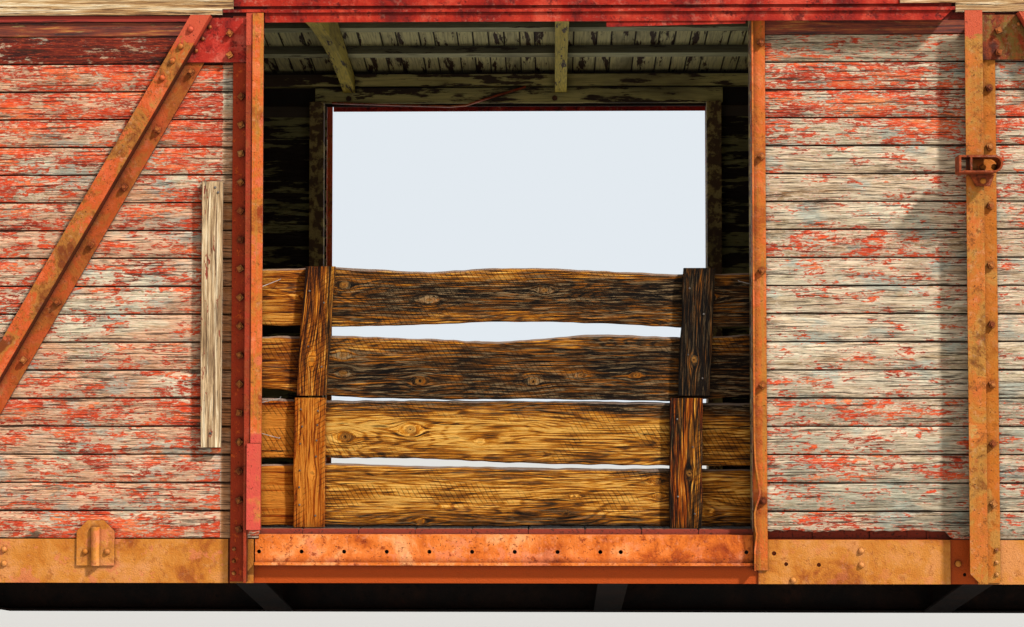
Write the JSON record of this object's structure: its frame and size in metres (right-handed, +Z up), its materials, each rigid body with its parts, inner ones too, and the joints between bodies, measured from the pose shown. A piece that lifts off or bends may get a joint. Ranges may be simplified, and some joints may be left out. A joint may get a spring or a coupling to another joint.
{
  "type": "boxcar",
  "caption": "Old wooden railway boxcar with outside steel bracing, open side doorways, plank gate and two swivelling trucks.",
  "frame": {"origin": "on the floor under the wheel flanges, below the middle of the car", "axes": "+X along the car, towards the end with the hand brake; +Y away from the pictured side; +Z up"},
  "size_m": [13.3, 3.044, 4.067],
  "materials": {
    "orange_steel": "rusty worn paint",
    "red_steel": "faded red paint",
    "dark_red_strip": "old red paint",
    "frame_steel": "rust and grime",
    "truck_steel": "rust and grime",
    "cast_iron": "brown rust",
    "wheel_iron": "brown rust, dull tread",
    "board_wood": "weathered, peeling red paint",
    "rough_wood": "rough sawn, weathered",
    "grey_wood": "grey weathered",
    "fascia_wood": "weathered, worn pale paint",
    "floor_wood": "worn planks",
    "lining_wood": "peeled pale paint",
    "roof_wood": "old boards",
    "roof_metal": "faded, rusty sheet"
  },
  "bodies": {
    "carbody": {"bent_strip": "orange_steel", "boards_far_left": "board_wood", "boards_far_right": "board_wood", "boards_near_left": "board_wood", "boards_near_right": "board_wood", "body_bolsters": "frame_steel", "brake_cylinder": "frame_steel", "brake_rods": "frame_steel", "carlines": "lining_wood", "centre_sill": "frame_steel", "corner_posts": "orange_steel", "couplers": "cast_iron", "crossbearers": "frame_steel", "door_angles": "orange_steel", "door_jambs": "lining_wood", "door_threshold": "orange_steel", "door_track_hood": "red_steel", "draft_gear": "cast_iron", "end_boards": "board_wood", "end_gables": "orange_steel", "end_posts": "orange_steel", "end_sills": "orange_steel", "fascia_boards": "fascia_wood", "floor_deck": "floor_wood", "floor_stringers": "frame_steel", "gate_cleats": "rough_wood", "gate_planks": "rough_wood", "gussets": "orange_steel", "hand_brake": "frame_steel", "ladders": "orange_steel", "plate_timbers": "lining_wood", "purlins": "lining_wood", "roof_boards": "roof_wood", "roof_sheets": "roof_metal", "running_board": "grey_wood", "side_braces": "orange_steel", "side_plates": "orange_steel", "side_posts": "orange_steel", "side_sills": "orange_steel", "sill_brackets": "orange_steel", "sill_steps": "orange_steel", "strap_brackets": "orange_steel", "top_strips": "dark_red_strip", "uncoupling_levers": "orange_steel", "wall_batten": "grey_wood"},
    "truck_a": {"truck_a_arch_bars": "truck_steel", "truck_a_bolster": "truck_steel", "truck_a_brake_beams": "cast_iron", "truck_a_journal_boxes": "cast_iron", "truck_a_springs": "truck_steel"},
    "truck_b": {"truck_b_arch_bars": "truck_steel", "truck_b_bolster": "truck_steel", "truck_b_brake_beams": "cast_iron", "truck_b_journal_boxes": "cast_iron", "truck_b_springs": "truck_steel"},
    "wheelset_1_body": {"wheelset_1": "wheel_iron"},
    "wheelset_2_body": {"wheelset_2": "wheel_iron"},
    "wheelset_3_body": {"wheelset_3": "wheel_iron"},
    "wheelset_4_body": {"wheelset_4": "wheel_iron"}
  },
  "joints": [
    {"name": "truck_a_swivel", "type": "hinge", "parent": "carbody", "child": "truck_a", "pos_m": [-4.8, 0, 0.64], "axis": [0, 0, 1], "range_deg": [-6, 6]},
    {"name": "truck_b_swivel", "type": "hinge", "parent": "carbody", "child": "truck_b", "pos_m": [4.8, 0, 0.64], "axis": [0, 0, 1], "range_deg": [-6, 6]},
    {"name": "wheelset_1_spin", "type": "hinge", "parent": "truck_a", "child": "wheelset_1_body", "pos_m": [-5.638, 0, 0.444], "axis": [0, 1, 0], "continuous": true},
    {"name": "wheelset_2_spin", "type": "hinge", "parent": "truck_a", "child": "wheelset_2_body", "pos_m": [-3.962, 0, 0.444], "axis": [0, 1, 0], "continuous": true},
    {"name": "wheelset_3_spin", "type": "hinge", "parent": "truck_b", "child": "wheelset_3_body", "pos_m": [3.962, 0, 0.444], "axis": [0, 1, 0], "continuous": true},
    {"name": "wheelset_4_spin", "type": "hinge", "parent": "truck_b", "child": "wheelset_4_body", "pos_m": [5.638, 0, 0.444], "axis": [0, 1, 0], "continuous": true}
  ]
}
